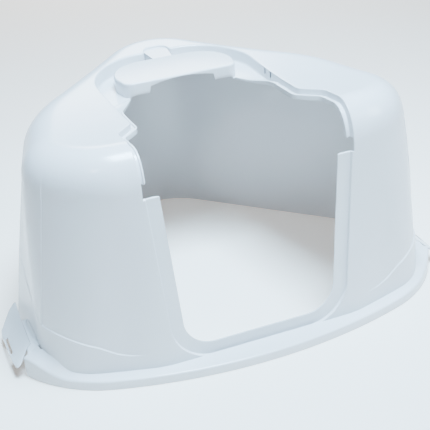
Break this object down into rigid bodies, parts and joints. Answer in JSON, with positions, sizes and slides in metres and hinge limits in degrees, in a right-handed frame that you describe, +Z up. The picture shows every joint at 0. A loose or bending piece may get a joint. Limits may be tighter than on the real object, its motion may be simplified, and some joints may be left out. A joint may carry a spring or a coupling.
{
  "type": "corner litter tray hood",
  "caption": "Drafted corner hood with a front doorway, an open roof hatch with a stepped seat, a recessed carry handle and flexing side catches that clip it to a tray.",
  "frame": {"origin": "centre of the footprint, on the surface that the rim stands on", "axes": "+Z up, +Y from the doorway to the rear corner, +X to the hood's left as seen from behind it, which is the viewer's right when facing the doorway"},
  "size_m": [0.622, 0.4974, 0.3034],
  "materials": {
    "hood_plastic": "glossy moulded polypropylene, cool white"
  },
  "bodies": {
    "hood": {"rear_corner": "hood_plastic", "left_rear_wall": "hood_plastic", "right_rear_wall": "hood_plastic", "left_side_wall": "hood_plastic", "right_side_wall": "hood_plastic", "door_sill": "hood_plastic", "left_jamb": "hood_plastic", "right_jamb": "hood_plastic", "roof": "hood_plastic", "handle_recess": "hood_plastic", "carry_handle": "hood_plastic", "left_hatch_seat": "hood_plastic", "right_hatch_seat": "hood_plastic", "front_flange": "hood_plastic"},
    "left_tongue": {"left_latch": "hood_plastic"},
    "right_tongue": {"right_latch": "hood_plastic"}
  },
  "joints": [
    {"name": "left_latch_flex", "type": "hinge", "parent": "hood", "child": "left_tongue", "pos_m": [-0.283, -0.0935, 0.03475], "axis": [0, 1, 0], "range_deg": [-4, 15], "stiffness_Nm_per_rad": 0.5},
    {"name": "right_latch_flex", "type": "hinge", "parent": "hood", "child": "right_tongue", "pos_m": [0.283, -0.0935, 0.03475], "axis": [0, -1, 0], "range_deg": [-4, 15], "stiffness_Nm_per_rad": 0.5}
  ]
}
